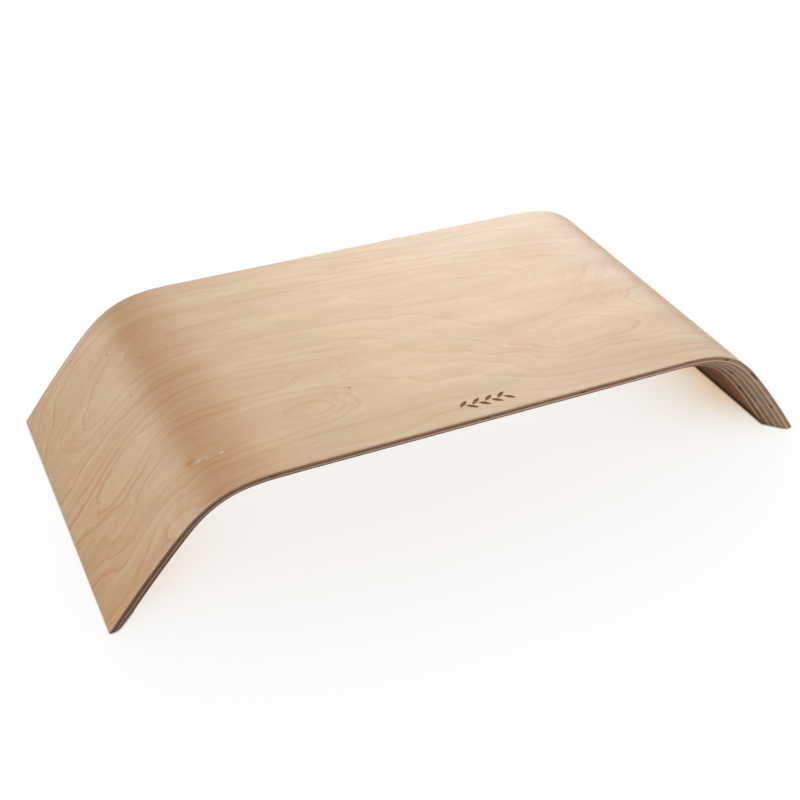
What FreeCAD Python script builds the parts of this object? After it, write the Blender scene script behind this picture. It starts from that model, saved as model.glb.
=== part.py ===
import FreeCAD, Part
import os
from math import sin, cos, radians
from FreeCAD import Vector

# Bent-plywood monitor stand.
#
# One moulded board, bridge shaped: a flat platform that runs through two wide
# bends into two splayed legs, cut off level at the foot.  The board is a lay-up
# of eleven veneers, each a piece of its own.  Four thin pads lie under the feet.
#
# Frame: origin on the desk under the middle of the stand, +X along the stand,
# -Y towards the user, +Z up.  Millimetres.  "Depth" is measured square to the
# outer (upper) face, into the board.

# ---------------------------------------------------------------- dimensions
OVERALL_W = 520.0        # X, over the outer corners of the two feet
BOARD_D = 234.0          # Y, over the front and rear edges
OVERALL_H = 90.0         # Z, desk to top of platform
PAD_T = 1.0              # pad thickness, so also the height of the foot plane

# the lay-up, outer face first
PLY_NAMES = ["face_veneer", "crossband_02", "long_ply_03", "crossband_04", "long_ply_05",
             "crossband_06_core", "long_ply_07", "crossband_08", "long_ply_09",
             "crossband_10", "back_veneer"]
FACE_PLY = 1.2           # face and back veneers
CORE_PLY = 1.4           # every veneer between them
PLY_T = [FACE_PLY] + [CORE_PLY] * (len(PLY_NAMES) - 2) + [FACE_PLY]
GLUE_DEPTH = [sum(PLY_T[:i]) for i in range(len(PLY_T) + 1)]   # both faces included
BOARD_T = GLUE_DEPTH[-1]

# profile of the outer face, by arc length from the centre line
FLAT_HALF = 136.0        # straight platform, each side of the centre
BEND_LEN = 97.85         # arc length of one bend
BEND_ANGLE = 0.86386     # turned through one bend, radians
BEND_RAMP = 0.46         # share of the bend over which curvature rises, and again falls
LEG_CURL = 0.001147      # the leg keeps turning slightly, radians per mm

# front and rear edges: setback at each entry of GLUE_DEPTH.  A nearly square
# land about 4 mm deep, then an undercut bevel of about 48 degrees.
EDGE_SETBACK = [0.0, 0.0, 0.05, 0.45, 1.40, 2.75, 4.35, 6.05, 7.85, 9.60, 11.25, 12.60]
ARRIS_R = 0.8            # eased top corner of the land
ARRIS_FACETS = 3

# pads
PAD_R = 6.0
PAD_CHAMFER = 0.3
PAD_Y = 92.0             # from the centre line to the pad centre

# engraved ornament: a sprig of leaves in two rows, centred near the front edge
MARK_Y = -102.0
MARK_DEPTH = 0.35
CUTTER_OVERSHOOT = 1.0   # how far the cutter stands above the platform
LEAVES_PER_ROW = 4
LEAF_PITCH = 9.0         # between the leaves of one row
LEAF_RISE = 2.1          # leaf centre behind or in front of MARK_Y
LEAF_LEAN = 35.0         # degrees from the X axis
LEAF_LEN = 8.4
LEAF_WIDTH = 2.9

# curve making
STEP = 0.25              # integration step along the arc
LEG_SPANS = 18           # spans of the spline through one bend and leg
SEW_TOLERANCE = 1e-4


# ------------------------------------------------------------------- profile
def heading(s):
    """Angle of the outer face below horizontal at arc length s from the centre."""
    u = (s - FLAT_HALF) / BEND_LEN       # share of the bend passed
    if u <= 0:
        return 0.0
    if u >= 1:
        return BEND_ANGLE + LEG_CURL * (s - FLAT_HALF - BEND_LEN)
    peak = 1.0 / (1.0 - BEND_RAMP)       # curvature between the ramps, relative to the mean
    if u < BEND_RAMP:
        turned = peak * u * u / (2 * BEND_RAMP)
    elif u < 1 - BEND_RAMP:
        turned = peak * (u - BEND_RAMP / 2)
    else:
        turned = 1 - peak * (1 - u) ** 2 / (2 * BEND_RAMP)
    return BEND_ANGLE * turned


def trace_outer_face():
    """Samples (s, x, z, heading) of the right half, from the platform's end to the foot."""
    s, x, z = FLAT_HALF, FLAT_HALF, OVERALL_H
    samples = [(s, x, z, 0.0)]
    while z > PAD_T:
        start, middle, end = heading(s), heading(s + STEP / 2), heading(s + STEP)
        # Simpson's rule over the step
        x += STEP * (cos(start) + 4 * cos(middle) + cos(end)) / 6
        z -= STEP * (sin(start) + 4 * sin(middle) + sin(end)) / 6
        s += STEP
        samples.append((s, x, z, end))
    return samples


OUTER_FACE = trace_outer_face()


def offset_profile(depth):
    """Right-half rows (s, x, z) at a depth, the last one on the foot plane."""
    rows = []
    for s, x, z, angle in OUTER_FACE:
        row = (s, x - depth * sin(angle), z - depth * cos(angle))
        if row[2] <= PAD_T:
            share = (rows[-1][2] - PAD_T) / (rows[-1][2] - row[2])
            rows.append(blend(rows[-1], row, share)[:2] + (PAD_T,))
            break
        rows.append(row)
    return rows


def blend(first, second, share):
    """The row that lies a share of the way from the first to the second."""
    return tuple(a + share * (b - a) for a, b in zip(first, second))


# a slight uniform stretch along X brings the traced foot to the overall width
STRETCH = (OVERALL_W / 2) / offset_profile(0.0)[-1][1]
FLAT_X = FLAT_HALF * STRETCH


def spaced_rows(rows):
    """LEG_SPANS + 1 rows evenly spaced in arc length, ends kept exactly."""
    first, last = rows[0][0], rows[-1][0]
    picked = []
    for i in range(LEG_SPANS):
        s = first + (last - first) * i / LEG_SPANS
        k = min(int((s - first) / STEP), len(rows) - 2)
        share = (s - rows[k][0]) / (rows[k + 1][0] - rows[k][0])
        picked.append(blend(rows[k], rows[k + 1], share))
    return picked + [rows[-1]]


# ----------------------------------------------------------- edges and faces
LEFT_LEG, RIGHT_LEG = 0, 2     # places of the leg curves in a rail


def leg_curve(side, depth, y):
    """Spline from the end of the platform to the foot; side is -1 left, 1 right."""
    rows = spaced_rows(offset_profile(depth))
    curve = Part.BSplineCurve()
    curve.interpolate(Points=[Vector(side * x * STRETCH, y, z) for _, x, z in rows],
                      Parameters=[i / LEG_SPANS for i in range(LEG_SPANS + 1)])
    return curve.toShape()


def rail(depth, y):
    """The board's profile in the plane y: left leg, platform line, right leg."""
    z = OVERALL_H - depth
    return [leg_curve(-1, depth, y),
            Part.makeLine(Vector(-FLAT_X, y, z), Vector(FLAT_X, y, z)),
            leg_curve(1, depth, y)]


def foot_point(edge):
    return min((v.Point for v in edge.Vertexes), key=lambda point: point.z)


def polygon_face(points):
    return Part.Face(Part.makePolygon(points + [points[0]]))


def platform_strip(depth_a, y_a, depth_b, y_b):
    """Flat strip along the platform between two lines, each at a depth and a y."""
    z_a, z_b = OVERALL_H - depth_a, OVERALL_H - depth_b
    return polygon_face([Vector(-FLAT_X, y_a, z_a), Vector(FLAT_X, y_a, z_a),
                         Vector(FLAT_X, y_b, z_b), Vector(-FLAT_X, y_b, z_b)])


def leg_sheet(front_edge, half_depth):
    """Leg surface swept from the front edge to the rear one."""
    return front_edge.extrude(Vector(0, 2 * half_depth, 0))


def close(faces):
    """Sew the faces into one outward-facing solid."""
    shell = Part.Shell(faces)
    shell.sewShape(SEW_TOLERANCE)
    solid = Part.Solid(shell)
    if solid.Volume < 0:
        solid.reverse()
    return solid


# ------------------------------------------------------------------- veneers
def inner_ply(i):
    """A veneer below the face one: the space between two glue lines."""
    outer_t, inner_t = GLUE_DEPTH[i:i + 2]
    outer_y, inner_y = [BOARD_D / 2 - setback for setback in EDGE_SETBACK[i:i + 2]]
    outer_front, outer_rear = rail(outer_t, -outer_y), rail(outer_t, outer_y)
    inner_front, inner_rear = rail(inner_t, -inner_y), rail(inner_t, inner_y)
    faces = [platform_strip(outer_t, -outer_y, outer_t, outer_y),
             platform_strip(inner_t, -inner_y, inner_t, inner_y)]
    for end in (-1, 1):
        faces.append(platform_strip(outer_t, end * outer_y, inner_t, end * inner_y))
    for leg in (LEFT_LEG, RIGHT_LEG):
        faces += [leg_sheet(outer_front[leg], outer_y),
                  leg_sheet(inner_front[leg], inner_y),
                  Part.makeRuledSurface(outer_front[leg], inner_front[leg]),
                  Part.makeRuledSurface(outer_rear[leg], inner_rear[leg])]
        corners = (outer_front, outer_rear, inner_rear, inner_front)
        faces.append(polygon_face([foot_point(r[leg]) for r in corners]))
    return close(faces)


def face_veneer_blank():
    """The outer veneer, with the long top corners of the land eased in facets."""
    # (depth, half depth in Y) from the outer face round the corner and down the land
    section = []
    for i in range(ARRIS_FACETS + 1):
        angle = radians(90 * i / ARRIS_FACETS)
        section.append((ARRIS_R * (1 - cos(angle)), BOARD_D / 2 - ARRIS_R * (1 - sin(angle))))
    section.append((FACE_PLY, BOARD_D / 2))

    front = [rail(depth, -half) for depth, half in section]
    rear = [rail(depth, half) for depth, half in section]
    faces = [platform_strip(depth, -half, depth, half)
             for depth, half in (section[0], section[-1])]
    for rails in (front, rear):
        for upper, lower in zip(rails, rails[1:]):
            faces += [Part.makeRuledSurface(a, b) for a, b in zip(upper, lower)]
    for leg in (LEFT_LEG, RIGHT_LEG):
        for j in (0, -1):
            faces.append(leg_sheet(front[j][leg], section[j][1]))
        faces.append(polygon_face([foot_point(r[leg]) for r in front + rear[::-1]]))
    return close(faces)


def leaf_face():
    """Flat two-arc leaf on the Z = 0 plane, long axis on Y."""
    tip, bulge = Vector(0, LEAF_LEN / 2, 0), Vector(LEAF_WIDTH / 2, 0, 0)
    right = Part.Arc(-tip, bulge, tip).toShape()
    left = Part.Arc(tip, -bulge, -tip).toShape()
    return Part.Face(Part.Wire([right, left]))


def ornament_cutter():
    """The sprig: a rear and a front row, leaning opposite ways and staggered in X."""
    leaves = []
    for side in (1, -1):
        for i in range(LEAVES_PER_ROW):
            x = (i - (LEAVES_PER_ROW - 1) / 2) * LEAF_PITCH - side * LEAF_PITCH / 4
            leaf = leaf_face()
            leaf.rotate(Vector(0, 0, 0), Vector(0, 0, 1), side * LEAF_LEAN - 90)
            leaf.translate(Vector(x, MARK_Y + side * LEAF_RISE, OVERALL_H - MARK_DEPTH))
            leaves.append(leaf.extrude(Vector(0, 0, MARK_DEPTH + CUTTER_OVERSHOOT)))
    return Part.makeCompound(leaves)


def face_veneer():
    return face_veneer_blank().cut(ornament_cutter()).Solids[0]


# ---------------------------------------------------------------------- pads
def pad(side_x, side_y):
    """Round pad centred across the thickness of the foot, chamfered underneath."""
    foot_inner_x = offset_profile(BOARD_T)[-1][1] * STRETCH
    x = side_x * (OVERALL_W / 2 + foot_inner_x) / 2
    body = Part.makeCylinder(PAD_R, PAD_T, Vector(x, side_y * PAD_Y, 0))
    bottom_rim = [e for e in body.Edges
                  if len(e.Vertexes) == 1 and abs(e.CenterOfMass.z) < 1e-6]
    return body.makeChamfer(PAD_CHAMFER, bottom_rim)


def export(shape, name):
    shape.exportStep("parts/%s.step" % name)


def main():
    os.makedirs("parts", exist_ok=True)
    export(face_veneer(), PLY_NAMES[0])
    for i, name in enumerate(PLY_NAMES[1:], start=1):
        export(inner_ply(i), name)
    for side_x, x_name in ((-1, "left"), (1, "right")):
        for side_y, y_name in ((-1, "front"), (1, "rear")):
            export(pad(side_x, side_y), "%s_%s_pad" % (y_name, x_name))


main()
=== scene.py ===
import math
from itertools import accumulate

import bpy
import bmesh
import numpy as np
from mathutils import Vector, Matrix


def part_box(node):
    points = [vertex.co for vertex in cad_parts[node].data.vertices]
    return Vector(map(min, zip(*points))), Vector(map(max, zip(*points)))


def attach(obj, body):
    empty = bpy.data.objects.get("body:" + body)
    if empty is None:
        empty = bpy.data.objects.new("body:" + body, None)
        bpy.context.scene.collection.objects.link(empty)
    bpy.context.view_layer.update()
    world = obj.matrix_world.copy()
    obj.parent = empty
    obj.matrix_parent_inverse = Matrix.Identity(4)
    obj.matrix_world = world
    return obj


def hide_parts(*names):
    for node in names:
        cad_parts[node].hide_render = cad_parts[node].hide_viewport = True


# A bent-plywood monitor stand: eleven birch veneers pressed into one board, and four pads.
# The board runs along X with a leg at either end; Y is across it, front at -Y; Z is up.
# Lengths are millimetres until they are written to a mesh, an attribute or a node.
#
# A place on the board is (run, y, depth): signed arc length from the middle along the outer
# face, distance across, and depth below the outer face.

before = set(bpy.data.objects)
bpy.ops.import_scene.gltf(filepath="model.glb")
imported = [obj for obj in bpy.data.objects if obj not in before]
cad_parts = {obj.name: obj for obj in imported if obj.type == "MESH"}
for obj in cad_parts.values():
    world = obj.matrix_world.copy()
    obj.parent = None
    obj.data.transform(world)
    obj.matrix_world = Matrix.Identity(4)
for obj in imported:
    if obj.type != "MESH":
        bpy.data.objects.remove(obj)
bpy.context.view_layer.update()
MM = 0.001

# ------------------------------------------------------------------ the board
PIECES = ["face_veneer", "crossband_02", "long_ply_03", "crossband_04", "long_ply_05",
          "crossband_06_core", "long_ply_07", "crossband_08", "long_ply_09",
          "crossband_10", "back_veneer"]
PLY_THICKNESS = [1.2] + [1.4] * 9 + [1.2]
DEPTHS = list(accumulate(PLY_THICKNESS, initial=0.0))      # of the ply boundaries
BOARD_THICKNESS = DEPTHS[-1]
# how far the long edges stand back at each ply boundary
SETBACK = [0.0, 0.0, 0.05, 0.45, 1.40, 2.75, 4.35, 6.05, 7.85, 9.60, 11.25, 12.60]
ARRIS = 0.8                 # radius of the outer face's eased corner
UNDER_ARRIS = 0.45          # and of the inner face's
FLAT_HALF = 136.0           # half length of the flat top
BEND_LENGTH = 97.85
BEND_ANGLE = 0.86386        # radians
BEND_RAMP = 0.46            # share of the bend over which its curvature grows, and fades
LEG_CURL = 0.001147         # further turn of the leg, radians per mm
TRIM_START = 225.0          # beyond this run the columns shift to meet the foot plane
PATH_STEP = 0.25

# the engraved sprig
MARK_Y, MARK_DEPTH = -102.0, 0.35
LEAVES_PER_ROW, LEAF_PITCH, LEAF_RISE = 4, 9.0, 2.1
LEAF_LEAN, LEAF_LENGTH, LEAF_WIDTH = 35.0, 8.4, 2.9        # lean in degrees

face_low, face_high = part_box("face_veneer")
HALF_WIDTH = face_high.x / MM
HALF_DEPTH = face_high.y / MM
TOP_Z = face_high.z / MM
FOOT_Z = face_low.z / MM


def heading(run):
    """Downward slope of the board, in radians, at a positive run."""
    u = np.clip((run - FLAT_HALF) / BEND_LENGTH, 0, 1)
    ramp = BEND_RAMP
    peak = 1.0 / (1.0 - ramp)
    turned = np.where(u < ramp, peak * u * u / (2 * ramp),
                      np.where(u < 1 - ramp, peak * (u - ramp / 2),
                               1 - peak * (1 - u) ** 2 / (2 * ramp)))
    return BEND_ANGLE * turned + LEG_CURL * np.clip(run - FLAT_HALF - BEND_LENGTH, 0, None)


# the outer face's path from the middle outwards, by Simpson's rule
PATH_RUN = np.arange(0.0, 330.01, PATH_STEP)
PATH_HEADING = heading(PATH_RUN)
MID_HEADING = heading(PATH_RUN[:-1] + PATH_STEP / 2)


def integrated(function):
    ends = function(PATH_HEADING)
    steps = PATH_STEP * (ends[:-1] + 4 * function(MID_HEADING) + ends[1:]) / 6
    return np.r_[0, np.cumsum(steps)]


PATH_X = integrated(np.cos)
PATH_Z = TOP_Z - integrated(np.sin)


def foot_run(depth):
    """Run at which a depth reaches the foot plane."""
    z = PATH_Z - depth * np.cos(PATH_HEADING)
    return float(np.interp(-FOOT_Z, -z, PATH_RUN))


RUN_END = foot_run(0.0)
STRETCH = HALF_WIDTH / float(np.interp(RUN_END, PATH_RUN, PATH_X))
FOOT_DEPTHS = np.linspace(0, BOARD_THICKNESS, 31)
FOOT_RUNS = np.array([foot_run(depth) for depth in FOOT_DEPTHS])


def on_board(run, depth):
    """x and z of places on the board (arrays)."""
    out = np.abs(run)
    slope = heading(out)
    x = np.interp(out, PATH_RUN, PATH_X) - depth * np.sin(slope)
    z = np.interp(out, PATH_RUN, PATH_Z) - depth * np.cos(slope)
    return np.sign(run) * x * STRETCH, z


def trimmed(run, depth):
    """Run at a depth in the column that starts at run, so every column ends on the foot plane."""
    end = np.interp(depth, FOOT_DEPTHS, FOOT_RUNS)
    share = np.clip((np.abs(run) - TRIM_START) / (RUN_END - TRIM_START), 0, 1)
    share = share * share * (3 - 2 * share)
    share = np.where(np.abs(run) >= RUN_END - 1e-6, 1.0, share)
    return np.sign(run) * (np.abs(run) + (end - RUN_END) * share)


def monotone_cubic(x, y, query):
    """Monotone cubic through the given points."""
    gap = np.diff(x)
    rise = np.diff(y) / gap
    slope = np.zeros(len(x))
    for i in range(1, len(x) - 1):
        if rise[i - 1] * rise[i] > 0:
            before, after = 2 * gap[i] + gap[i - 1], gap[i] + 2 * gap[i - 1]
            slope[i] = (before + after) / (before / rise[i - 1] + after / rise[i])
    slope[0], slope[-1] = rise[0], rise[-1]
    query = np.clip(query, x[0], x[-1])
    k = np.clip(np.searchsorted(x, query, side="right") - 1, 0, len(x) - 2)
    u = (query - x[k]) / gap[k]
    return ((2 * u ** 3 - 3 * u ** 2 + 1) * y[k]
            + (u ** 3 - 2 * u ** 2 + u) * gap[k] * slope[k]
            + (-2 * u ** 3 + 3 * u ** 2) * y[k + 1]
            + (u ** 3 - u ** 2) * gap[k] * slope[k + 1])


def eased(distance, radius):
    """How far a quarter-round corner stands back at a distance from the face."""
    inner = radius - np.minimum(distance, radius)
    return radius - np.sqrt(np.clip(radius ** 2 - inner ** 2, 0, None))


def edge_y(depth):
    """y of the rear long edge at a depth."""
    setback = (monotone_cubic(np.array(DEPTHS), np.array(SETBACK), depth)
               + eased(depth, ARRIS) + eased(BOARD_THICKNESS - depth, UNDER_ARRIS) * 0.9)
    return HALF_DEPTH - setback


# ------------------------------------------------------- seeded smooth noise
def smooth_noise(a, b, seed):
    """Value noise in about -1 to 1 over two coordinate arrays, one lattice cell per unit."""
    n = 256
    grid = np.random.RandomState(seed).uniform(-1, 1, (n, n))
    i, j = np.floor(a).astype(int), np.floor(b).astype(int)
    u, v = a - i, b - j
    u, v = u * u * u * (u * (u * 6 - 15) + 10), v * v * v * (v * (v * 6 - 15) + 10)
    i0, i1, j0, j1 = i % n, (i + 1) % n, j % n, (j + 1) % n
    return ((grid[i0, j0] * (1 - u) + grid[i1, j0] * u) * (1 - v)
            + (grid[i0, j1] * (1 - u) + grid[i1, j1] * u) * v)


# ------------------------------------------------------------ the ring figure
# A rotary-cut veneer shows its growth rings as the contour lines of a gentle relief.
# Each entry is a ring number and points on its line on the outer face, (run, y).
RINGS = [
    (0, [(-197, 47), (-200, 53), (-195, 60), (-180, 66), (-150, 69), (-110, 67), (-60, 66),
         (-20, 64), (10, 61), (40, 57), (70, 52), (95, 44), (109, 37), (113, 29), (108, 21),
         (99, 19), (92, 12), (87, 4), (76, 2), (66, 0), (61, 6), (60, 13), (48, 16), (25, 18),
         (5, 22), (-20, 29), (-50, 34), (-80, 36), (-110, 35), (-150, 35), (-180, 40)]),
    (1, [(-171, 51), (-155, 57), (-128, 58), (-100, 56), (-84, 52), (-100, 48), (-112, 45),
         (-132, 43), (-155, 44)]),
    (1, [(-30, 46), (-10, 50), (10, 48), (40, 46), (60, 44), (80, 39), (93, 33), (92, 26),
         (78, 23), (50, 23), (28, 25), (10, 31), (-15, 38)]),
    (-1, [(-250, 42), (-249, 49), (-244, 56), (-232, 61), (-215, 67), (-200, 71), (-180, 75),
          (-150, 78), (-110, 77), (-80, 75), (-50, 74), (-20, 72), (10, 69), (40, 66), (70, 62),
          (100, 56), (130, 49), (150, 41), (159, 35), (158, 29), (150, 18), (140, 4), (130, -6),
          (118, -15), (108, -22), (95, -26), (75, -31), (58, -32), (45, -27), (33, -19),
          (25, -8), (15, 1), (0, 9), (-20, 15), (-50, 20), (-80, 23), (-110, 25), (-150, 25),
          (-180, 26), (-215, 27), (-235, 28), (-245, 33)]),
    (-2, [(-283, 52), (-276, 57), (-262, 62), (-254, 67), (-244, 72), (-230, 75), (-218, 80),
          (-200, 83), (-180, 84), (-150, 87), (-110, 87), (-80, 84), (-50, 81), (-20, 79),
          (10, 77), (40, 74), (70, 69), (100, 64), (130, 58), (150, 53), (172, 47)]),
    (-2, [(-278, 48), (-271, 43), (-266, 36), (-260, 29), (-252, 24), (-235, 21), (-205, 19),
          (-180, 18), (-150, 17), (-110, 14), (-80, 12), (-50, 8), (-35, 5), (-20, 0), (-5, -9),
          (1, -17), (4, -24), (12, -31), (22, -37), (29, -41), (33, -48), (37, -53), (45, -56),
          (55, -61), (64, -67), (74, -74), (90, -77), (110, -73), (130, -76), (150, -76),
          (172, -73)]),
    (-3, [(-290, 70), (-283, 77), (-276, 87), (-269, 93), (-257, 99), (-235, 103), (-200, 101),
          (-170, 98), (-140, 96), (-110, 96), (-80, 94), (-50, 90), (-20, 87), (10, 84),
          (40, 81), (70, 77), (100, 71), (130, 67), (150, 60), (172, 55)]),
    (-3, [(-275, 12), (-255, 13), (-235, 11), (-210, 7), (-180, 5), (-140, 5), (-110, 3),
          (-80, 1), (-60, -1), (-45, -5), (-33, -10), (-26, -17), (-25, -25), (-22, -32),
          (-12, -38), (0, -42), (11, -47), (22, -54), (36, -58), (50, -62), (60, -69),
          (70, -78), (82, -83), (94, -83), (103, -80), (113, -78), (130, -83), (150, -83),
          (172, -84)]),
    (-4, [(-290, -4), (-262, -6), (-248, -4), (-235, -3), (-215, -3), (-190, -4), (-165, -4),
          (-140, -3), (-110, -4), (-80, -7), (-60, -9), (-48, -15), (-42, -25), (-41, -36),
          (-34, -45), (-18, -50), (0, -53), (12, -57), (23, -61), (33, -67), (38, -76),
          (46, -84), (62, -89), (85, -91), (115, -92), (150, -97), (172, -98)]),
    (-4, [(-50, 103), (-20, 97), (10, 94), (40, 91), (70, 88), (100, 86), (120, 81), (140, 75),
          (172, 68)]),
    (-5, [(-285, -14), (-262, -15), (-245, -11), (-225, -10), (-205, -11), (-180, -11),
          (-150, -10), (-120, -12), (-95, -16), (-80, -18), (-69, -24), (-67, -30), (-73, -36),
          (-78, -40), (-74, -45), (-62, -48), (-51, -53), (-38, -61), (-28, -68), (-12, -71),
          (8, -74), (22, -82), (40, -91), (62, -98), (100, -101), (150, -105), (172, -105)]),
    (-6, [(-268, -29), (-260, -25), (-250, -19), (-238, -16), (-222, -15), (-213, -18),
          (-205, -21), (-190, -21), (-170, -19), (-150, -17), (-125, -18), (-108, -20),
          (-102, -24), (-105, -31), (-114, -35), (-140, -37), (-170, -36), (-190, -34),
          (-202, -31), (-215, -34), (-228, -39), (-245, -42), (-256, -40), (-264, -35)]),
    (-5, [(-284, -34), (-272, -40), (-262, -43), (-253, -47), (-245, -49), (-236, -47),
          (-225, -44), (-210, -41), (-190, -42), (-170, -44), (-140, -45), (-110, -45),
          (-95, -46), (-84, -51), (-77, -61), (-78, -73), (-88, -82), (-110, -86), (-150, -89),
          (-175, -90), (-205, -87), (-228, -85), (-240, -87), (-250, -90), (-262, -90),
          (-273, -85), (-284, -77)]),
    (-4, [(-284, -44), (-276, -52), (-270, -61), (-265, -68), (-258, -70), (-249, -69),
          (-243, -65), (-236, -58), (-228, -54), (-210, -52), (-180, -53), (-150, -53),
          (-125, -51), (-105, -51), (-90, -55), (-83, -62), (-83, -70), (-92, -77), (-108, -80),
          (-130, -81), (-150, -83), (-175, -84), (-195, -82), (-215, -79), (-235, -79),
          (-248, -82), (-262, -82), (-272, -78), (-284, -68)]),
    (-3, [(-124, -66), (-119, -60), (-109, -57), (-97, -58), (-88, -63), (-87, -68), (-93, -73),
          (-105, -76), (-118, -74)]),
    (-6, [(-268, -110), (-262, -107), (-252, -105), (-244, -102), (-236, -96), (-228, -93),
          (-212, -92), (-204, -94), (-195, -98), (-175, -98), (-150, -96), (-110, -93),
          (-80, -93), (-60, -92), (-30, -93), (0, -97), (30, -104), (60, -110)]),
    (-7, [(-226, -114), (-222, -104), (-214, -100), (-206, -104), (-200, -114)]),
    (-7, [(-62, -113), (-48, -108), (-30, -103), (-10, -106), (5, -112)]),
    (-2, [(172, 17), (163, 10), (155, 2), (149, -9), (141, -16), (135, -22), (133, -28),
          (138, -33), (143, -39), (150, -45), (160, -49), (172, -51)]),
    (-3, [(175, -16), (164, -22), (158, -28), (157, -34), (163, -41), (175, -44)]),
    (-1, [(47, -52), (51, -48), (58, -46), (70, -45), (82, -43), (91, -38), (101, -35),
          (112, -37), (125, -42), (137, -47), (144, -54), (145, -62), (140, -68), (125, -69),
          (108, -68), (92, -69), (80, -68), (70, -63), (60, -59), (52, -55)]),
    (0, [(90, -52), (98, -50), (107, -52), (98, -55)]),
]
# heights between the lines and out to the board's ends: (run, y, height)
SPOTS = [
    (60, 34, 1.7), (-128, 51, 1.5), (-215, 48, -0.45), (-190, 53, 0.12), (-240, -28, -6.5),
    (-130, -28, -6.5), (-105, -66, -2.6), (110, 5, -0.55), (-55, -72, -5.5),
    (-298, 20, -2.6), (-298, 52, -2.9), (-298, 90, -4.2), (-298, -25, -5.4), (-298, -56, -3.8),
    (-298, -90, -5.4), (-298, -112, -6.2), (-240, 112, -4.2), (-150, 112, -4.6),
    (-80, 112, -4.8), (0, 112, -5.4), (90, 105, -5.3), (150, 105, -5.4),
    (200, 100, -5.0), (200, 60, -3.2), (200, 20, -2.5), (200, -10, -3.4), (200, -32, -4.0),
    (200, -60, -2.2), (200, -80, -3.1), (200, -105, -5.0),
    (245, 100, -4.6), (245, 60, -3.6), (245, 25, -2.2), (245, -5, -3.2), (245, -32, -4.6),
    (245, -65, -2.8), (245, -85, -3.4), (245, -108, -4.6),
    (298, 105, -5.2), (298, 70, -4.1), (298, 35, -2.6), (298, 0, -2.9), (298, -35, -4.2),
    (298, -70, -3.4), (298, -105, -4.2)]
ALONG = 0.5                 # grain runs along the board, so distances along it count half
LINE_SPACING = 9.0          # between the points taken on a ring line
RELIEF_SOFTNESS = 0.02      # lets the surface miss its points slightly
GRID_STEP = 2.0


def relief_points():
    """Evenly spaced points on the ring lines, then the spots, with their heights."""
    points, heights = [], []
    for level, line in RINGS:
        line = np.array(line, float)
        steps = np.hypot(np.diff(line[:, 0]) * ALONG, np.diff(line[:, 1]))
        distance = np.r_[0, np.cumsum(steps)]
        count = max(int(distance[-1] / LINE_SPACING), 2) + 1
        at = np.linspace(0, distance[-1], count)
        points.append(np.stack([np.interp(at, distance, line[:, 0]),
                                np.interp(at, distance, line[:, 1])], -1))
        heights.append(np.full(count, float(level)))
    spots = np.array(SPOTS, float)
    return np.concatenate(points + [spots[:, :2]]), np.concatenate(heights + [spots[:, 2]])


def plate_kernel(places, points):
    dx = (places[:, None, 0] - points[None, :, 0]) * ALONG
    dy = places[:, None, 1] - points[None, :, 1]
    square = dx * dx + dy * dy + 1e-9
    return 0.5 * square * np.log(square) / 1000


def relief(run, y):
    """Height of the thin-plate surface through the ring lines."""
    points, heights = relief_points()
    n = len(points)
    system = np.zeros((n + 3, n + 3))
    system[:n, :n] = plate_kernel(points, points) + np.eye(n) * RELIEF_SOFTNESS
    plane = np.c_[np.ones(n), points / 100]
    system[:n, n:], system[n:, :n] = plane, plane.T
    weights = np.linalg.solve(system, np.r_[heights, 0, 0, 0])
    places = np.stack([run, y], -1)
    out = np.empty(len(places))
    batch = 20000           # keeps the kernel matrix small
    for i in range(0, len(places), batch):
        part = places[i:i + batch]
        out[i:i + batch] = (plate_kernel(part, points) @ weights[:n]
                            + np.c_[np.ones(len(part)), part / 100] @ weights[n:])
    return out


def wandering_relief():
    """The relief on the grid, with the small wander of real growth rings added."""
    run, y = (a.ravel() for a in np.meshgrid(GRID_RUN, GRID_Y, indexing="ij"))
    run_moved = (run + 5.0 * smooth_noise(run / 22, y / 9, 11)
                 + 2.5 * smooth_noise(run / 8, y / 5, 12))
    y_moved = (y + 1.3 * smooth_noise(run / 26, y / 11, 13)
               + 0.7 * smooth_noise(run / 9, y / 6, 14))
    return relief(run_moved, y_moved).reshape(len(GRID_RUN), len(GRID_Y))


GRID_RUN = np.arange(-304.0, 304.1, GRID_STEP)
GRID_Y = np.arange(-124.0, 124.1, GRID_STEP)
FIELD = wandering_relief()
SLOPE = np.hypot(*np.gradient(FIELD, GRID_STEP))


def cubic_weights(u):
    return (((-0.5 * u + 1.0) * u - 0.5) * u, (1.5 * u - 2.5) * u * u + 1.0,
            ((-1.5 * u + 2.0) * u + 0.5) * u, (0.5 * u - 0.5) * u * u)


def sample(grid, run, y):
    """Catmull-Rom lookup of a grid over the board."""
    a = np.clip((run - GRID_RUN[0]) / GRID_STEP, 1, len(GRID_RUN) - 3.001)
    b = np.clip((y - GRID_Y[0]) / GRID_STEP, 1, len(GRID_Y) - 3.001)
    i, j = a.astype(int), b.astype(int)
    run_weights, y_weights = cubic_weights(a - i), cubic_weights(b - j)
    out = 0
    for p in range(4):
        for q in range(4):
            out = out + grid[i + p - 1, j + q - 1] * run_weights[p] * y_weights[q]
    return out


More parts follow.
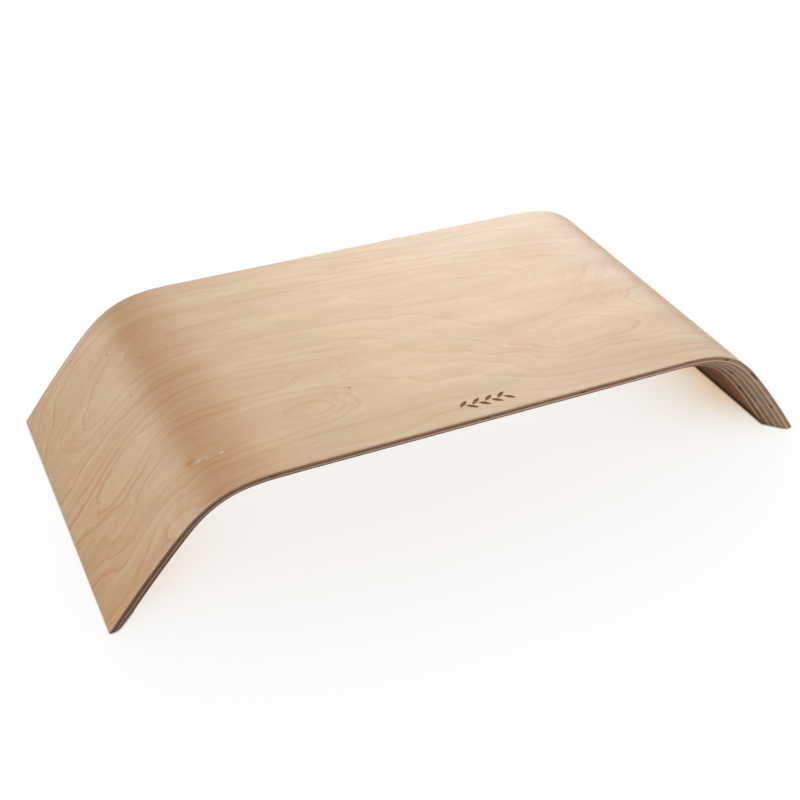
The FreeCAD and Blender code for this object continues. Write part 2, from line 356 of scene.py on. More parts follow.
# Soft marks round small grain upsets, brown above zero strength and pale below:
# (run, y, half length, half width, turn in degrees, strength)
STAINS = [
    (-290, -84, 20, 30, 0, 0.42), (-289, 40, 15, 26, 0, -0.34), (-192, -75.5, 3.0, 2.4, 0, 1.0),
    (-184, -86, 5.0, 2.2, -38, 0.55), (-176, -95, 7.0, 1.6, -22, 0.3),
    (-256, -105, 6.5, 1.6, 0, 0.55), (-263, -109, 1.4, 4.0, -20, 0.4),
    (-225, -103, 1.5, 7.5, 4, 0.5), (-211, -103, 2.2, 7.5, -16, 0.55),
    (-207, -93, 3.0, 3.0, 0, 0.4), (-217, -99, 1.2, 3.5, 20, 0.4),
    (-158, -89, 5.0, 1.8, 0, 0.35), (-182, -108, 6.0, 2.0, -8, 0.45),
    (-248, 41, 5.0, 2.2, -60, 0.6), (-283, 20, 6.0, 2.0, 30, 0.25),
    (-296, -20, 3.0, 5.0, 0, 0.35), (-262, -37, 7.0, 1.4, -38, 0.4),
    (-251, -40.5, 2.4, 1.4, 0, 0.4), (-200, 54, 4.0, 4.0, 0, 0.3),
    (104, -51, 9.0, 2.2, 0, 0.32), (113, 33, 2.4, 6.0, 0, 0.3), (44, -60, 7.0, 1.6, -30, 0.25),
    (-219, -105, 1.3, 7.0, 10, -0.75), (-222, -98, 1.0, 5.0, -18, -0.5),
    (-187, -79, 2.2, 0.8, 10, -0.6), (-201, -71, 5.0, 8.0, 0, -0.32),
    (-201, -45, 6.0, 7.0, 0, -0.3), (-266, -104, 3.0, 6.0, 0, -0.35),
    (-262, -29, 6.0, 2.2, 10, -0.35), (-255, -66, 9.0, 2.0, 0, -0.3),
    (-232, 44, 10.0, 3.0, 0, -0.25), (60, 36, 26.0, 4.0, -8, -0.25),
    (-130, 52, 30.0, 4.0, 0, -0.15), (-60, -46, 7.0, 3.0, 0, -0.25)]


def stains(run, y):
    out = 0.0 * run
    run = run + 1.1 * smooth_noise(run / 4, y / 3, 21)
    y = y + 0.8 * smooth_noise(run / 5, y / 3, 22)
    for at_run, at_y, length, width, turn, strength in STAINS:
        cos, sin = math.cos(math.radians(turn)), math.sin(math.radians(turn))
        u = ((run - at_run) * cos + (y - at_y) * sin) / length
        v = (-(run - at_run) * sin + (y - at_y) * cos) / width
        out += strength * np.exp(-0.7 * (u * u + v * v))
    return out


# how strongly the figure shows: clearest on the legs, faintest near the left bend
FIGURE_RUN = [-298, -216, -190, -150, -60, 0, 200, 298]
FIGURE_GAIN = [1.28, 1.20, 0.62, 0.44, 0.55, 0.64, 0.68, 1.10]


# ------------------------------------------------------------- mesh building
def new_object(name, verts, faces, smooth_angle=32.0):
    mesh = bpy.data.meshes.new(name)
    mesh.from_pydata((np.asarray(verts) * MM).tolist(), [], faces)
    mesh.validate()
    mesh.update()
    obj = bpy.data.objects.new(name, mesh)
    bpy.context.scene.collection.objects.link(obj)
    for p in mesh.polygons:
        p.use_smooth = True
    mesh.set_sharp_from_angle(angle=math.radians(smooth_angle))
    return obj


def face_outwards(mesh):
    work = bmesh.new()
    work.from_mesh(mesh)
    bmesh.ops.recalc_face_normals(work, faces=work.faces)
    work.to_mesh(mesh)
    work.free()


def put_attribute(mesh, name, values):
    layer = mesh.attributes.get(name) or mesh.attributes.new(name, "FLOAT", "POINT")
    layer.data.foreach_set("value", np.asarray(values, np.float32))


def put_place(mesh, run, y, depth, ply):
    """Store each vertex's place on the board, in metres, and its share of the ply's depth."""
    put_attribute(mesh, "gs", run * MM)
    put_attribute(mesh, "gy", y * MM)
    put_attribute(mesh, "gt", depth * MM)
    put_attribute(mesh, "gp", (depth - DEPTHS[ply]) / PLY_THICKNESS[ply])


def put_figure(mesh, run, y, inner=False):
    """Store the ring figure; the inner face carries it turned about and a little stretched."""
    put_attribute(mesh, "figure", np.interp(run, FIGURE_RUN, FIGURE_GAIN))
    if inner:
        run, y = -0.88 * run + 6, -y * 0.97
    put_attribute(mesh, "stain", stains(run, y))
    put_attribute(mesh, "ringF", sample(FIELD, run, y) + 20.0)
    put_attribute(mesh, "ringG", sample(SLOPE, run, y))


def sweep(name, columns, loop_y, loop_depth, move):
    """Closed solid: a section loop swept along the board and capped at both feet.

    The first half of the loop runs rear to front over the outer side and the second half
    front to rear over the inner side, in equal counts, so the caps are strips of quads.
    move(run, y, depth, k) returns changed y and depth for section point k."""
    n, m = len(columns), len(loop_y)
    start = np.repeat(columns, m)
    y, depth = move(start, np.tile(loop_y, n), np.tile(loop_depth, n), np.tile(np.arange(m), n))
    run = trimmed(start, depth)
    x, z = on_board(run, depth)
    z = np.where(np.abs(start) >= RUN_END - 1e-6, FOOT_Z, z)
    i = np.arange(n - 1)[:, None]
    k = np.arange(m)[None, :]
    k2 = (k + 1) % m
    faces = np.stack([i * m + k, i * m + k2, (i + 1) * m + k2, (i + 1) * m + k], -1)
    a = np.arange(m // 2 - 1)
    cap = np.stack([a, m - 1 - a, m - 2 - a, a + 1], -1)
    faces = np.concatenate([faces.reshape(-1, 4), cap, (cap + (n - 1) * m)[:, ::-1]])
    obj = new_object(name, np.stack([x, y, z], -1), faces.tolist())
    face_outwards(obj.data)
    return obj, run, y, depth


def section_half_loops(depths, count):
    """y and depth of a section's two halves, each without its last point.

    The first half climbs the rear edge to depths[0], crosses there in count points and goes
    down the front edge; the second returns straight across at depths[-1]."""
    edge = edge_y(depths)
    across_y = np.linspace(1, -1, count) * edge[0]
    dense_y = np.r_[edge[::-1][:-1], across_y, -edge[1:-1]]
    dense_depth = np.r_[depths[::-1][:-1], np.full(count, depths[0]), depths[1:-1]]
    plain_y = np.linspace(-edge[-1], edge[-1], len(dense_y) + 1)[:-1]
    plain_depth = np.full(len(plain_y), depths[-1])
    return dense_y, dense_depth, plain_y, plain_depth


def board_columns(step, fine_spans=()):
    """Runs from foot to foot, with 0.2 mm steps in the (centre, half length) fine spans."""
    fine = 0.2
    base = list(np.linspace(-RUN_END, RUN_END, int(round(2 * RUN_END / step)) + 1))
    for centre, half in fine_spans:
        base = [b for b in base if abs(b - centre) > half + fine]
        base += list(np.arange(centre - half, centre + half + 1e-6, fine))
    base = sorted(b for b in base if abs(b) < RUN_END - 0.05)
    return np.array([-RUN_END] + base + [RUN_END])


def glue_wave(i, run, y):
    """Slight wander of glue line i."""
    side = np.where(y < 0, 0.0, 37.0)
    return (0.09 * smooth_noise(run / 31 + 7.3 * i, side + 0.5, 40 + i)
            + 0.05 * smooth_noise(run / 9 + 3.1 * i, side + 4.5, 60 + i))


# --------------------------------------------------------------- inner plies
# small gaps in the crossbands: (ply index, run, half length, side, depth); side -1 is front
VOIDS = [
    (1, -8.0, 3.2, -1, 0.9), (1, 64.0, 2.2, -1, 0.8), (3, -96.0, 1.8, -1, 0.7),
    (1, -151.0, 2.4, -1, 0.8), (3, 118.0, 2.0, -1, 0.9), (1, 182.0, 2.2, -1, 0.9),
    (1, 219.0, 5.5, -1, 0.9), (3, 262.0, 2.2, -1, 0.9), (7, 205.0, 2.2, -1, 0.9),
    (9, 231.0, 1.5, -1, 0.8), (5, -232.0, 2.0, -1, 0.9), (3, -204.0, 1.7, -1, 0.8),
    (1, 97.0, 2.6, 1, 0.9), (5, -30.0, 2.2, 1, 1.0), (3, -188.0, 1.9, 1, 0.8),
    (7, 150.0, 2.1, 1, 0.9), (9, -120.0, 1.7, 1, 0.8)]
PLY_EDGE_ROWS, PLY_ACROSS = 6, 15


def void_bulge(run, centre, half):
    """One at the middle of a gap, nil at its ends."""
    return np.clip(1 - ((run - centre) / half) ** 2, 0, 1)


def inner_ply(i):
    top, bottom = DEPTHS[i], DEPTHS[i + 1]
    loops = section_half_loops(np.linspace(top, bottom, PLY_EDGE_ROWS + 1), PLY_ACROSS)
    dense_y, dense_depth, plain_y, plain_depth = loops
    voids = [v[1:] for v in VOIDS if v[0] == i]

    def move(run, y, depth, k):
        f = np.clip((depth - top) / (bottom - top), 0, 1)
        depth = depth + glue_wave(i, run, y) * (1 - f) + glue_wave(i + 1, run, y) * f
        on_edge = ((k < PLY_EDGE_ROWS)
                   | ((k > PLY_EDGE_ROWS + PLY_ACROSS - 1) & (k <= len(dense_y))))
        side = np.where(y < 0, -1.0, 1.0)
        belly = np.sin(np.pi * f)
        cut = np.zeros(len(run))
        if i % 2:      # a crossband's end grain sands down lower than the plies beside it
            cut += belly * (0.035 + 0.02 * smooth_noise(run / 2.3, side * 5 + i, 80 + i))
            for centre, half, void_side, deep in voids:
                bulge = np.clip(void_bulge(run, centre, half) * 3, 0, 1)
                ragged = 0.75 + 0.25 * smooth_noise(run / 0.7, depth / 0.4, 90 + i)
                hollow = bulge * np.clip(belly * 1.8, 0, 1) * deep * ragged
                cut += np.where(side == void_side, hollow, 0)
        return np.where(on_edge, y - side * cut, y), depth

    columns = board_columns(1.6, [(centre, half + 1.0) for centre, half, _, _ in voids])
    obj, run, y, depth = sweep(PIECES[i], columns, np.r_[dense_y, plain_y],
                               np.r_[dense_depth, plain_depth], move)
    gap = np.zeros(len(run))
    from_middle = np.abs(depth - (top + bottom) / 2)
    for centre, half, void_side, _ in voids:
        mid = np.clip(2.2 - from_middle / (0.26 * (bottom - top)), 0, 1)
        bulge = np.clip(void_bulge(run, centre, half) * 2.4, 0, 1)
        gap = np.maximum(gap, bulge * mid * (np.sign(y) == void_side))
    put_attribute(obj.data, "gap", gap)
    put_place(obj.data, run, y, depth, i)
    return obj


# ------------------------------------------------------------- outer veneers
def face_piece():
    """The face veneer, its dense side outwards."""
    bottom = DEPTHS[1]
    arris = ARRIS * (1 - np.cos(np.linspace(0, math.pi / 2, 6)))
    depths = np.r_[arris, np.linspace(ARRIS, bottom, 3)[1:]]
    dense_y, dense_depth, plain_y, plain_depth = section_half_loops(depths, 188)

    def move(run, y, depth, k):
        f = np.clip(depth / bottom, 0, 1)
        return y, depth + glue_wave(1, run, y) * np.where(depth > 0.85, f, 0)

    return sweep("face_veneer_shell", board_columns(1.25), np.r_[dense_y, plain_y],
                 np.r_[dense_depth, plain_depth], move)


def back_piece():
    """The back veneer, its dense side inwards: the section is built turned over."""
    top, bottom = DEPTHS[10], DEPTHS[11]
    corner = 0.5
    depths = np.r_[np.linspace(top, bottom - corner, 4),
                   bottom - corner * np.array([0.75, 0.5, 0.3, 0.14, 0.04, 0.0])]
    dense_y, dense_depth, plain_y, plain_depth = section_half_loops(depths[::-1], 96)

    def move(run, y, depth, k):
        f = np.clip((depth - top) / (bottom - top), 0, 1)
        return y, depth + glue_wave(10, run, y) * np.where(depth < bottom - 0.3, 1 - f, 0)

    return sweep("back_veneer_shell", board_columns(1.6), np.r_[-plain_y, -dense_y],
                 np.r_[plain_depth, dense_depth], move)


def leaf_outline(n=14):
    """Outline of a two-arc leaf, long axis on Y."""
    half_length, half_width = LEAF_LENGTH / 2, LEAF_WIDTH / 2
    radius = (half_length * half_length + half_width * half_width) / (2 * half_width)
    reach = math.asin(half_length / radius)
    right = [(half_width - radius + radius * math.cos(q), radius * math.sin(q))
             for q in np.linspace(-reach, reach, n)]
    left = [(-x, -y) for x, y in right]
    return right[:-1] + left[:-1]


def leaf_cutter():
    """Leaf-shaped prisms standing through the outer face where the sprig is cut."""
    verts, faces = [], []
    outline = leaf_outline()
    n = len(outline)
    for side in (1, -1):
        turn = math.radians(side * LEAF_LEAN - 90)
        cos, sin = math.cos(turn), math.sin(turn)
        for i in range(LEAVES_PER_ROW):
            x0 = (i - (LEAVES_PER_ROW - 1) / 2) * LEAF_PITCH - side * LEAF_PITCH / 4
            y0 = MARK_Y + side * LEAF_RISE
            lo = len(verts)
            for z in (TOP_Z - MARK_DEPTH, TOP_Z + 1.0):
                verts += [(x0 + x * cos - y * sin, y0 + x * sin + y * cos, z)
                          for x, y in outline]
            faces += [(lo + k, lo + (k + 1) % n, lo + n + (k + 1) % n, lo + n + k)
                      for k in range(n)]
            faces += [tuple(range(lo + n - 1, lo - 1, -1)), tuple(range(lo + n, lo + 2 * n))]
    return new_object("leaf_cutter", verts, faces)


def engrave(obj):
    """Cut the sprig into the face veneer; returns the new mesh's places on the board."""
    cutter = leaf_cutter()
    mod = obj.modifiers.new("engrave", "BOOLEAN")
    mod.operation = "DIFFERENCE"
    mod.solver = "EXACT"
    mod.object = cutter
    bpy.context.view_layer.update()
    deps = bpy.context.evaluated_depsgraph_get()
    mesh = bpy.data.meshes.new_from_object(obj.evaluated_get(deps),
                                           preserve_all_data_layers=True, depsgraph=deps)
    obj.modifiers.clear()
    old = obj.data
    obj.data = mesh
    bpy.data.meshes.remove(old)
    bpy.data.objects.remove(cutter)
    mesh.name = obj.name
    co = np.zeros(len(mesh.vertices) * 3, np.float32)
    mesh.vertices.foreach_get("co", co)
    co = co.reshape(-1, 3) / MM
    run, y, depth = (np.zeros(len(co), np.float32) for _ in range(3))
    for values, name in ((run, "gs"), (y, "gy"), (depth, "gt")):
        mesh.attributes[name].data.foreach_get("value", values)
        values /= MM
    # the cut's own vertices have no place yet, so the area round it is worked out afresh
    near = (np.abs(co[:, 0]) < 60) & (co[:, 2] > TOP_Z - 0.9)
    run[near] = co[near, 0] / STRETCH
    y[near] = co[near, 1]
    depth[near] = TOP_Z - co[near, 2]
    mesh.set_sharp_from_angle(angle=math.radians(32))
    return run, y, depth


# --------------------------------------------------------------- shader trees
class Value:
    """A node's output; arithmetic on it writes Math nodes."""

    def __init__(self, tree, socket):
        self.tree, self.socket = tree, socket

    def __add__(self, other):
        return self.tree.math("ADD", self, other)

    def __radd__(self, other):
        return self.tree.math("ADD", other, self)

    def __sub__(self, other):
        return self.tree.math("SUBTRACT", self, other)

    def __rsub__(self, other):
        return self.tree.math("SUBTRACT", other, self)

    def __mul__(self, other):
        return self.tree.math("MULTIPLY", self, other)

    def __truediv__(self, other):
        return self.tree.math("DIVIDE", self, other)


class Tree:
    """Writes the node tree of a material or world. Every part takes Values or constants."""

    def __init__(self, owner):
        self.owner = owner
        owner.use_nodes = True
        self.tree = owner.node_tree
        self.tree.nodes.clear()

    def add(self, kind, inputs={}, **settings):
        node = self.tree.nodes.new(kind)
        count = len(self.tree.nodes)
        node.location = ((count % 40) * 180, -(count // 40) * 260)
        for name, setting in settings.items():
            setattr(node, name, setting)
        for name, source in inputs.items():
            if isinstance(source, Value):
                self.tree.links.new(source.socket, node.inputs[name])
            else:
                node.inputs[name].default_value = source
        return node

    def value(self, kind, output=0, inputs={}, **settings):
        """Add a node and return one of its outputs."""
        return Value(self, self.add(kind, inputs, **settings).outputs[output])

    def attr(self, name):
        return self.value("ShaderNodeAttribute", "Fac", attribute_name=name)

    def attr_mm(self, name):
        return self.attr(name) * 1000.0

    def math(self, operation, a, b=0.0, c=0.0, clamp=False):
        return self.value("ShaderNodeMath", 0, {0: a, 1: b, 2: c},
                          operation=operation, use_clamp=clamp)

    def vec(self, x, y, z):
        return self.value("ShaderNodeCombineXYZ", 0, {0: x, 1: y, 2: z})

    def noise(self, point, detail=2.0, rough=0.5, scale=1.0):
        return self.value("ShaderNodeTexNoise", "Fac", {
            "Vector": point, "Scale": scale, "Detail": detail, "Roughness": rough,
        }, noise_dimensions="3D")

    def ramp(self, value, low, high, to=(0.0, 1.0), kind="LINEAR"):
        """Value from low to high, mapped to the pair in to and held beyond it."""
        return self.value("ShaderNodeMapRange", "Result", {
            "Value": value, "From Min": low, "From Max": high, "To Min": to[0], "To Max": to[1],
        }, interpolation_type=kind)

    def step(self, value, low, high, to=(0.0, 1.0)):
        """As ramp, but a smooth step."""
        return self.ramp(value, low, high, to, "SMOOTHSTEP")

    def mix(self, amount, a, b, mode="MIX"):
        return self.value("ShaderNodeMix", 2, {0: amount, 6: a, 7: b},
                          data_type="RGBA", blend_type=mode, clamp_factor=True)

    def times(self, a, b):
        return self.value("ShaderNodeVectorMath", 0, {0: a, 1: b}, operation="MULTIPLY")

    def occlusion(self, distance):
        """Ambient occlusion out to a distance in metres."""
        return self.value("ShaderNodeAmbientOcclusion", "AO", {"Distance": distance}, samples=6)

    def along(self, run, stops):
        """Tone that changes along the board by (run, (r, g, b)) stops, joined straight."""
        low, high = stops[0][0], stops[-1][0]
        top = 3.0      # a colour ramp holds 0 to 1, so tones are stored divided by this
        node = self.add("ShaderNodeValToRGB", {"Fac": (run - low) / (high - low)})
        elements = node.color_ramp.elements
        for at, _ in stops[1:-1]:
            elements.new((at - low) / (high - low))
        for element, (_, rgb) in zip(sorted(elements, key=lambda e: e.position), stops):
            element.color = tuple(c / top for c in rgb) + (1.0,)
        return self.value("ShaderNodeVectorMath", 0,
                          {0: Value(self, node.outputs["Color"]), "Scale": top},
                          operation="SCALE")

    def finish(self, colour, rough, height, bump_distance, bump_strength, specular, extra={}):
        """End the tree in a bumped Principled shader; returns the material."""
        bump = self.value("ShaderNodeBump", 0, {
            "Strength": bump_strength, "Distance": bump_distance, "Height": height})
        shader = self.value("ShaderNodeBsdfPrincipled", 0, {
            "Base Color": colour, "Roughness": rough, "Specular IOR Level": specular,
            "Coat Weight": 0.0, "Coat Roughness": 0.2, "Normal": bump, **extra})
        self.add("ShaderNodeOutputMaterial", {"Surface": shader})
        return self.owner


def material_tree(name):
    return Tree(bpy.data.materials.new(name))


def lin(*rgb):
    """sRGB 0-255 to a linear RGBA tuple."""
    return tuple((c / 255 / 12.92) if c / 255 <= 0.04045 else ((c / 255 + 0.055) / 1.055) ** 2.4
                 for c in rgb) + (1.0,)


# ----------------------------------------------------------- veneer materials
# pin knots and flecks: (run, y, half length, half width, strength)
FLECKS = [(-207, 74, 1.1, 0.8, 0.7), (-205, 18, 1.0, 0.7, 0.6), (-239, 18, 0.9, 0.6, 0.45),
          (-246.5, 13, 1.4, 0.5, 0.45), (-75, -54, 1.5, 0.8, 0.75),
          (-192, -75.5, 2.2, 1.1, 0.12), (188, 31, 1.1, 0.7, 0.6), (236, -48, 1.3, 0.8, 0.6)]
PALE_FLECKS = [(-186.5, -79, 2.6, 0.8, 0.95), (-182.0, -78.5, 2.4, 0.5, 0.7),
               (-181, -80.5, 0.8, 2.2, 0.6), (-178.5, -82.0, 2.6, 0.5, 0.5),
               (-171.5, -82.5, 1.8, 1.1, 0.8), (-174.5, -81.8, 1.6, 0.4, 0.4)]
# tint of the face along the board, which paints light: (run, (r, g, b)); painted shade makes the
# left bend redder and darker, a painted sheen pales the right bend
FACE_PAINTED_LIGHT_TINT = [
    (-300, (1.03, 1.0, 0.98)), (-262, (1.03, 0.985, 0.93)), (-215, (0.985, 0.95, 0.90)),
    (-195, (0.966, 0.93, 0.93)), (-184, (0.955, 0.89, 0.89)), (-172, (0.95, 0.91, 0.97)),
    (-150, (0.95, 0.95, 1.01)), (-100, (0.985, 1.0, 1.035)), (-20, (0.985, 1.0, 1.025)),
    (100, (0.99, 1.005, 1.03)), (150, (0.985, 1.01, 1.04)), (175, (0.91, 0.955, 1.02)),
    (192, (0.99, 1.06, 1.2)), (230, (1.0, 1.0, 1.0)), (300, (1.0, 1.0, 1.0))]
LEFT_BEND = (-225.0, -150.0)        # fibres and pores weaken over this run
DARK_TO_PALE = (1.0, 0.0)           # for steps that fall instead of rise


def ring_lines(tree, rings, slope, fade_in, fade_out):
    """Dark lines at whole ring numbers, and the distances in mm beyond and short of them."""
    part = tree.math("FRACT", rings)
    beyond = part / slope
    short = (1.0 - part) / slope
    dark = tree.math("MAXIMUM", tree.step(beyond, 0.0, fade_in, DARK_TO_PALE),
                     tree.step(short, 0.0, fade_out, DARK_TO_PALE))
    return dark, beyond, short


def ring_figure(tree, grain, seed, wander):
    """The ring figure as two lists of marks, pale and dark: (mark, presence, strength)."""
    slope = tree.math("MAXIMUM", tree.attr("ringG"), 0.018)
    rings = tree.attr("ringF") + wander * slope
    figure = tree.attr("figure")

    def band(distance, rise, fall):
        """A band that rises and falls between two pairs of distances from a line."""
        return tree.step(distance, *rise) * tree.step(distance, *fall, DARK_TO_PALE)

    def patchy(length, width, offset, low, high):
        """Presence of a kind of line, in patches."""
        return tree.ramp(grain(length, width, offset, rough=0.6), low, high) * figure

    line, beyond, short = ring_lines(tree, rings, slope, fade_in=3.6, fade_out=1.1)
    tail = tree.math("POWER", tree.ramp(beyond, 0.0, 11.0, DARK_TO_PALE), 1.6)
    halo = band(short, (0.4, 1.7), (2.4, 7.0))
    far_halo = band(beyond, (1.6, 3.0), (3.5, 7.0))
    # some rings are strong, others barely show, and each fades in and out along its length
    ring_number = tree.math("FLOOR", rings + 0.5)
    own = tree.value("ShaderNodeTexWhiteNoise", "Value", {"W": ring_number + seed * 3.7},
                     noise_dimensions="1D")
    fade = grain(60, 16, 3.3, rough=0.6)
    strong = tree.math("MINIMUM", tree.ramp(fade, 0.32, 0.68) * 0.75 + own * 0.45, 1.15)
    strong = strong * figure
    # fainter lines between the rings
    between = rings * 3.0 + grain(30, 9, 4.4) * 1.4
    faint_line, _, short = ring_lines(tree, between, slope * 3.0, fade_in=1.4, fade_out=0.5)
    faint_halo = band(short, (0.3, 1.1), (1.4, 3.4))
    faint = patchy(42, 7, 5.5, 0.36, 0.60)
    # and hair lines at a millimetre or two, with pale threads between them
    close = rings * 8.0 + grain(22, 6, 5.9, detail=3) * 2.6
    hair_line, _, short = ring_lines(tree, close, slope * 8.0, fade_in=0.9, fade_out=0.5)
    hair = patchy(30, 5, 6.2, 0.40, 0.62)
    thread_line = band(short, (0.5, 1.0), (1.1, 2.0))
    thread = patchy(34, 4, 6.9, 0.46, 0.64)
    pale = [(halo, strong, 0.095), (far_halo, strong, 0.03),
            (faint_halo, faint, 0.075), (thread_line, thread, 0.10)]
    dark = [(line, strong, 0.34), (tail, strong, 0.17),
            (faint_line, faint, 0.24), (hair_line, hair, 0.11)]
    return pale, dark


def add_flecks(tree, colour, run, y, raggedness, ring_colour):
    dark, pale = lin(72, 44, 30), lin(252, 238, 216)
    for flecks in (FLECKS, PALE_FLECKS):
        for at_run, at_y, length, width, strength in flecks:
            u = (run - at_run) * (1 / length)
            v = (y - at_y) * (1 / width)
            radius = tree.math("SQRT", u * u + v * v) + raggedness * 1.2
            if flecks is FLECKS:
                core = tree.step(radius, 0.55, 1.15, to=(strength, 0.0))
                colour = tree.mix(core, colour, dark)
                ring = tree.step(radius, 0.8, 2.6, to=(0.22, 0.0))
                colour = tree.mix(ring, colour, ring_colour)
            else:
                core = tree.step(radius, 0.5, 1.3, to=(strength, 0.0))
                colour = tree.mix(core, colour, pale)
    return colour


def veneer_edge_colour(tree, run, depth, seed, inner):
    """The cut face of the veneer at its long edges."""
    patches = tree.noise(tree.vec(run * (1 / 9.0), depth * (1 / 0.5), 12.5 + seed),
                         detail=3, rough=0.6)
    patches = tree.ramp(patches, 0.35, 0.65)
    if inner:
        edge = tree.mix(patches, lin(216, 192, 160), lin(192, 164, 130))
    else:          # on the left leg the rim is darker
        edge = tree.mix(patches, lin(176, 132, 98), lin(140, 98, 70))
        darker_on_left_leg = tree.step(run, -245.0, -140.0, to=(0.85, 0.1))
        edge = tree.mix(darker_on_left_leg, edge, lin(112, 79, 58))
    # it darkens again towards its far side
    return tree.mix(tree.step(depth, 0.85, 1.2, to=(0.0, 0.7)), edge, lin(92, 58, 42))


def veneer_material(name, pale, tan, ring, seed, line_gain, rough, inner):
    """Rotary-cut birch: ring lines from the relief, fibres, pores, soft mottle."""
    tree = material_tree(name)
    run, y, depth = tree.attr_mm("gs"), tree.attr_mm("gy"), tree.attr_mm("gt")
    if inner:      # depth counts from the shown face
        depth = BOARD_THICKNESS - depth
    ring_colour = lin(*ring)

    def grain(length, width, offset, detail=2.0, rough=0.5):
        """Noise with features of a length along the board and a width across it."""
        return tree.noise(tree.vec(run * (1 / length), y * (1 / width), offset + seed),
                          detail, rough)

    def centred(noise):
        return noise - 0.5

    # ring lines wander by fractions of a millimetre
    wide_wander = centred(grain(17, 5, 1.1, detail=3, rough=0.55))
    fine_wander = centred(grain(5, 1.6, 2.2))
    pale_marks, dark_marks = ring_figure(tree, grain, seed,
                                         wide_wander * 3.4 + fine_wander * 1.3)
    halo, strong, _ = pale_marks[0]
    line = dark_marks[0][0]
    fibre = grain(26, 0.55, 6.6, detail=4, rough=0.65)
    fine_fibre = grain(9, 0.22, 7.7, rough=0.6)
    pore = tree.step(grain(3.2, 0.28, 8.8, detail=1), 0.66, 0.78)
    mottle = grain(90, 17, 9.9, detail=3, rough=0.55)
    small_mottle = grain(24, 7, 10.5)
    # the faint cross ripple of birch, slightly aslant
    ripple = tree.noise(tree.vec((run + y * 0.35) * (1 / 5.5), y * (1 / 34.0), 11.5 + seed))

    # lightness about 1; it swings blue most and red least
    colour = tree.mix(tree.ramp(mottle, 0.3, 0.7), lin(*pale), lin(*tan))
    tone = centred(small_mottle) * 0.10 + centred(ripple) * 0.085
    strands = centred(fibre) * 0.16 + centred(fine_fibre) * 0.12
    tone = tree.math("MULTIPLY_ADD", strands, tree.step(run, *LEFT_BEND, to=(1.9, 1.0)), tone)
    for mark, presence, strength in pale_marks:
        tone = tone + mark * presence * (strength * line_gain)
    swing = (tone + 1.0) - 1.0
    red, green, blue = (tree.math("MULTIPLY_ADD", swing, k, 1.0) for k in (0.36, 1.02, 1.95))
    colour = tree.times(colour, tree.vec(red, green, blue, ))
    glow = tree.math("MULTIPLY", halo * strong, 0.16 * line_gain, clamp=True)
    colour = tree.mix(glow, colour, lin(244, 220, 178))

    # dark lines, pores and stains
    amounts = [mark * presence * (strength * line_gain)
               for mark, presence, strength in dark_marks]
    amount = amounts[0]
    for more in amounts[1:]:
        amount = amount + more
    amount = amount * tree.ramp(fibre, 0.2, 0.8, to=(0.75, 1.25))
    colour = tree.mix(amount, colour, ring_colour)
    pore_strength = tree.step(run, *LEFT_BEND, to=(0.26, 0.17))
    colour = tree.mix(pore * pore_strength, colour, lin(150, 104, 72))
    stain = tree.attr("stain") * tree.ramp(fibre, 0.2, 0.8, to=(0.7, 1.3))
    for strength, stain_colour in ((0.42, ring_colour), (-0.55, lin(244, 222, 184))):
        part = tree.math("MULTIPLY", stain, strength, clamp=True)
        colour = tree.mix(part, colour, stain_colour)
    if not inner:
        colour = add_flecks(tree, colour, run, y, fine_wander, ring_colour)
        # painted shade on the left bend and painted sheen on the right bend
        colour = tree.times(colour, tree.along(run, FACE_PAINTED_LIGHT_TINT))
        # painted shade: the platform darkens a little towards its front edge
        front = (tree.step(y, -100.0, -35.0, DARK_TO_PALE)
                 * tree.step(run, -150.0, -100.0))
        colour = tree.mix(front, colour, tree.times(colour, (0.945, 0.975, 1.0)))

    # the sanded corner, and a painted highlight as the thin pale rim above it, but not in the
    # engraving
    on_edge = tree.step(depth, 0.04, 0.26)
    rim = tree.step(depth, 0.004, 0.03) * tree.step(depth, 0.05, 0.20, DARK_TO_PALE)
    if not inner:
        by_sprig = tree.step(tree.math("ABSOLUTE", y + (-MARK_Y)), 6.0, 7.0, DARK_TO_PALE)
        engraved = by_sprig * tree.step(depth, 0.03, 0.16)
        on_edge = on_edge * (1.0 - by_sprig)
        rim = rim * (1.0 - by_sprig)
    edge_colour = veneer_edge_colour(tree, run, depth, seed, inner)
    colour = tree.mix(on_edge * 0.95, colour, edge_colour)
    # the pale rim is a painted highlight along the arris
    colour = tree.mix(rim * (0.15 if inner else 0.55), colour, lin(240, 216, 186))
    if inner:      # painted shade: darker where the leg meets the desk
        shade = tree.step(tree.occlusion(0.016), 0.35, 0.85, to=(0.80, 0.0))
        colour = tree.mix(shade, colour, lin(58, 40, 30))
    else:          # the engraving is charred
        char = tree.mix(grain(0.9, 0.9, 13.5, detail=3, rough=0.6),
                        lin(182, 95, 64), lin(130, 66, 47))
        colour = tree.mix(engraved * 0.94, colour, char)

    # satin lacquer: fibres and pores slightly duller, faint handling haze
    dullness = rough + centred(fibre) * 0.10 + pore * 0.10 + centred(mottle) * 0.10
    if not inner:
        dullness = tree.math("MULTIPLY_ADD", engraved, 0.4, dullness)
    height = fine_fibre * 0.35 + fibre * 0.5 - pore * 0.7 - line * strong * 0.35
    return tree.finish(colour, dullness, height, bump_distance=0.00006, bump_strength=0.55,
                       specular=0.77)


# -------------------------------------------------------- ply edge materials
# tone of each crossband's edge on the right leg, by ply index, and of the long plies' edges
BAND_TONE = {1: (1.45, 1.56, 1.70), 3: (1.41, 1.56, 1.75), 5: (1.55, 1.82, 2.05),
             7: (1.34, 1.54, 1.68), 9: (1.15, 1.00, 0.80)}
LINE_TONE = (0.82, 0.88, 0.90)


def edge_fall(middle, right, deep):
    """Stops for the tone of a ply's edge, darker towards the left leg, more so deep down."""
    def share(k):
        return (k * middle,) * 3

    left = 0.80 if deep else 1.0
    return [(-300, share(0.56 * left)), (-200, share(0.66 * left)), (-150, share(0.86 * left)),
            (-20, share(0.93 if deep else 1.0)), (110, share(1.0)), (205, right), (300, right)]


